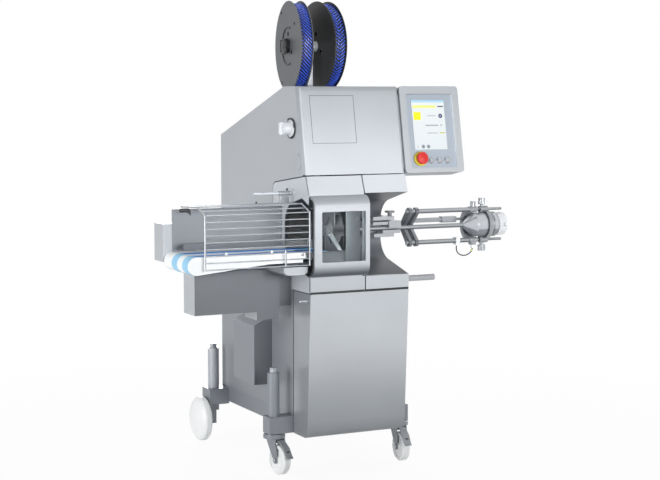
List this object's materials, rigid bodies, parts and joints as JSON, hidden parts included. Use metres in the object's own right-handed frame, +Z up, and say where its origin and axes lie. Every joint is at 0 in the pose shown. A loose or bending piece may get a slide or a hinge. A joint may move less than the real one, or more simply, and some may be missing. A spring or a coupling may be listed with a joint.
{
  "type": "sausage clipper",
  "caption": "Wheeled stainless sausage clipper with a leaning head, operator panel, clip throat behind a hooded door, casing horn, caged discharge conveyor and clip reels.",
  "frame": {"origin": "floor level under the middle of the overall outline", "axes": "+Z up, -Y the operator's front, +X the infeed side with the casing horn"},
  "size_m": [1.527, 1.056, 1.967],
  "materials": {
    "satin_steel": "bead-blasted satin stainless sheet",
    "bright_steel": "polished stainless",
    "machined_steel": "machined stainless, slightly darker",
    "white_plastic": "satin white machined plastic",
    "belt": "smooth light blue conveyor belt",
    "coil": "strung clips with a glossy blue coating",
    "black_plastic": "matt black plastic",
    "grey_plastic": "matt grey plastic",
    "red_plastic": "glossy red plastic",
    "yellow_plastic": "matt yellow plastic",
    "fascia": "smooth blue-grey film",
    "display": "display glass",
    "clear_pane": "clear polycarbonate",
    "nylon": "off-white nylon",
    "cable": "black cable sheath",
    "painted_drive": "grey painted housing"
  },
  "bodies": {
    "machine": {"machine_frame": "machined_steel", "chassis_rails": "satin_steel", "left_side_panel": "satin_steel", "right_side_panel": "satin_steel", "rear_cover": "satin_steel", "head_cover": "satin_steel", "clip_frame": "satin_steel", "side_cover": "satin_steel", "hmi_housing": "satin_steel", "hmi_panel": "fascia", "hmi_screen": "display", "stop_collar": "yellow_plastic", "conveyor_bed": "white_plastic", "conveyor_belts": "belt", "conveyor_drive_box": "satin_steel", "conveyor_motor_box": "satin_steel", "guard_back_plate": "satin_steel", "reel_stand": "satin_steel", "casing_brake": "machined_steel", "guide_rods": "bright_steel", "rod_brackets": "machined_steel", "horn_tube": "bright_steel", "stuffing_horn": "bright_steel", "horn_clamp": "machined_steel", "brake_cylinder": "satin_steel", "casing_sensor": "white_plastic", "sensor_cable": "cable", "coupling_bar": "bright_steel", "drive_motor": "painted_drive", "tool_guides": "machined_steel"},
    "clip_door": {"clip_door": "satin_steel", "door_window": "clear_pane"},
    "cabinet_door": {"cabinet_door": "satin_steel"},
    "cabinet_latch": {"cabinet_latch": "bright_steel"},
    "cage_guard": {"cage_guard": "bright_steel", "guard_hub": "bright_steel"},
    "nose_roller": {"nose_roller": "bright_steel"},
    "drive_roller": {"drive_roller": "bright_steel"},
    "left_reel": {"left_reel": "grey_plastic", "left_clip_coil": "coil"},
    "right_reel": {"right_reel": "black_plastic", "right_clip_coil": "coil"},
    "stop_button": {"stop_button": "red_plastic"},
    "start_button": {"start_button": "bright_steel"},
    "halt_button": {"halt_button": "bright_steel"},
    "reset_button": {"reset_button": "bright_steel"},
    "main_switch": {"main_switch": "black_plastic"},
    "left_caster_fork": {"left_caster_fork": "bright_steel"},
    "left_caster_wheel": {"left_caster_wheel": "nylon"},
    "left_caster_brake": {"left_caster_brake": "satin_steel"},
    "right_caster_fork": {"right_caster_fork": "bright_steel"},
    "right_caster_wheel": {"right_caster_wheel": "nylon"},
    "right_caster_brake": {"right_caster_brake": "satin_steel"},
    "left_rear_wheel": {"left_rear_wheel": "nylon"},
    "right_rear_wheel": {"right_rear_wheel": "nylon"},
    "upper_clip_tool": {"upper_clip_tool": "bright_steel"},
    "lower_clip_tool": {"lower_clip_tool": "bright_steel"},
    "union_nut": {"union_nut": "bright_steel"},
    "thumb_knob": {"thumb_knob": "bright_steel"},
    "crank_disc": {"crank_disc": "bright_steel"}
  },
  "joints": [
    {"name": "clip_door_hinge", "type": "hinge", "parent": "machine", "child": "clip_door", "pos_m": [0.0075, -0.482, 1.009], "axis": [0, 0, 1], "range_deg": [0, 90]},
    {"name": "cabinet_door_hinge", "type": "hinge", "parent": "machine", "child": "cabinet_door", "pos_m": [0.2095, -0.334, 0.465], "axis": [0, 0, 1], "range_deg": [0, 90]},
    {"name": "cabinet_latch_pull", "type": "slide", "parent": "cabinet_door", "child": "cabinet_latch", "axis": [-1, 0, 0], "range_m": [0, 0.012], "stiffness_N_per_m": 400},
    {"name": "guard_lift", "type": "hinge", "parent": "machine", "child": "cage_guard", "pos_m": [-0.2705, -0.319, 1.168], "axis": [-1, 0, 0], "range_deg": [0, 90]},
    {"name": "drive_roller_turn", "type": "hinge", "parent": "machine", "child": "drive_roller", "pos_m": [-0.1535, -0.387, 0.918], "axis": [0, 1, 0], "continuous": true},
    {"name": "nose_roller_turn", "type": "hinge", "parent": "machine", "child": "nose_roller", "pos_m": [-0.7235, -0.387, 0.902], "axis": [0, 1, 0], "continuous": true},
    {"name": "left_reel_turn", "type": "hinge", "parent": "machine", "child": "left_reel", "pos_m": [-0.0505, -0.084, 1.776], "axis": [-0.9903, 0.1392, 0], "continuous": true},
    {"name": "right_reel_turn", "type": "hinge", "parent": "machine", "child": "right_reel", "pos_m": [-0.0505, -0.084, 1.776], "axis": [1, 0, 0], "continuous": true},
    {"name": "stop_press", "type": "slide", "parent": "machine", "child": "stop_button", "axis": [0, 0.9829, -0.184], "range_m": [0, 0.005], "stiffness_N_per_m": 600},
    {"name": "start_press", "type": "slide", "parent": "machine", "child": "start_button", "axis": [0, 0.9829, -0.184], "range_m": [0, 0.003], "stiffness_N_per_m": 300},
    {"name": "halt_press", "type": "slide", "parent": "machine", "child": "halt_button", "axis": [0, 0.9829, -0.184], "range_m": [0, 0.003], "stiffness_N_per_m": 300},
    {"name": "reset_press", "type": "slide", "parent": "machine", "child": "reset_button", "axis": [0, 0.9829, -0.184], "range_m": [0, 0.003], "stiffness_N_per_m": 300},
    {"name": "main_switch_turn", "type": "hinge", "parent": "machine", "child": "main_switch", "pos_m": [-0.2335, -0.304, 1.433], "axis": [-1, 0, 0], "range_deg": [0, 90]},
    {"name": "left_swivel", "type": "hinge", "parent": "machine", "child": "left_caster_fork", "pos_m": [-0.3075, -0.287, 0.16], "axis": [0, 0, 1], "continuous": true},
    {"name": "left_caster_roll", "type": "hinge", "parent": "left_caster_fork", "child": "left_caster_wheel", "pos_m": [-0.30166, -0.32859, 0.0625], "axis": [0.9903, 0.1392, 0], "continuous": true},
    {"name": "left_brake_tread", "type": "hinge", "parent": "left_caster_fork", "child": "left_caster_brake", "pos_m": [-0.305, -0.30483, 0.135], "axis": [0.9903, 0.1392, 0], "range_deg": [0, 4]},
    {"name": "right_swivel", "type": "hinge", "parent": "machine", "child": "right_caster_fork", "pos_m": [0.2785, -0.287, 0.16], "axis": [0, 0, 1], "continuous": true},
    {"name": "right_caster_roll", "type": "hinge", "parent": "right_caster_fork", "child": "right_caster_wheel", "pos_m": [0.27411, -0.32877, 0.0625], "axis": [0.9945, -0.1045, 0], "continuous": true},
    {"name": "right_brake_tread", "type": "hinge", "parent": "right_caster_fork", "child": "right_caster_brake", "pos_m": [0.27662, -0.3049, 0.135], "axis": [0.9945, -0.1045, 0], "range_deg": [0, 4]},
    {"name": "left_rear_roll", "type": "hinge", "parent": "machine", "child": "left_rear_wheel", "pos_m": [-0.3605, 0.428, 0.1], "axis": [1, 0, 0], "continuous": true},
    {"name": "right_rear_roll", "type": "hinge", "parent": "machine", "child": "right_rear_wheel", "pos_m": [0.3475, 0.428, 0.1], "axis": [1, 0, 0], "continuous": true},
    {"name": "upper_tool_stroke", "type": "slide", "parent": "machine", "child": "upper_clip_tool", "axis": [0, 0, -1], "range_m": [0, 0.04]},
    {"name": "lower_tool_stroke", "type": "slide", "parent": "machine", "child": "lower_clip_tool", "axis": [0, 0, 1], "range_m": [0, 0.04]},
    {"name": "union_nut_turn", "type": "hinge", "parent": "machine", "child": "union_nut", "pos_m": [0.7445, -0.346, 1.009], "axis": [1, 0, 0], "continuous": true},
    {"name": "thumb_knob_turn", "type": "hinge", "parent": "machine", "child": "thumb_knob", "pos_m": [0.2045, -0.346, 1.065], "axis": [0, 0, 1], "continuous": true},
    {"name": "crank_turn", "type": "hinge", "parent": "machine", "child": "crank_disc", "pos_m": [-0.0935, -0.254, 0.34], "axis": [0, 1, 0], "continuous": true}
  ],
  "couplings": [
    {"joint": "nose_roller_turn", "follows": "drive_roller_turn", "ratio": 0.56757},
    {"joint": "lower_tool_stroke", "follows": "upper_tool_stroke", "ratio": 1}
  ]
}
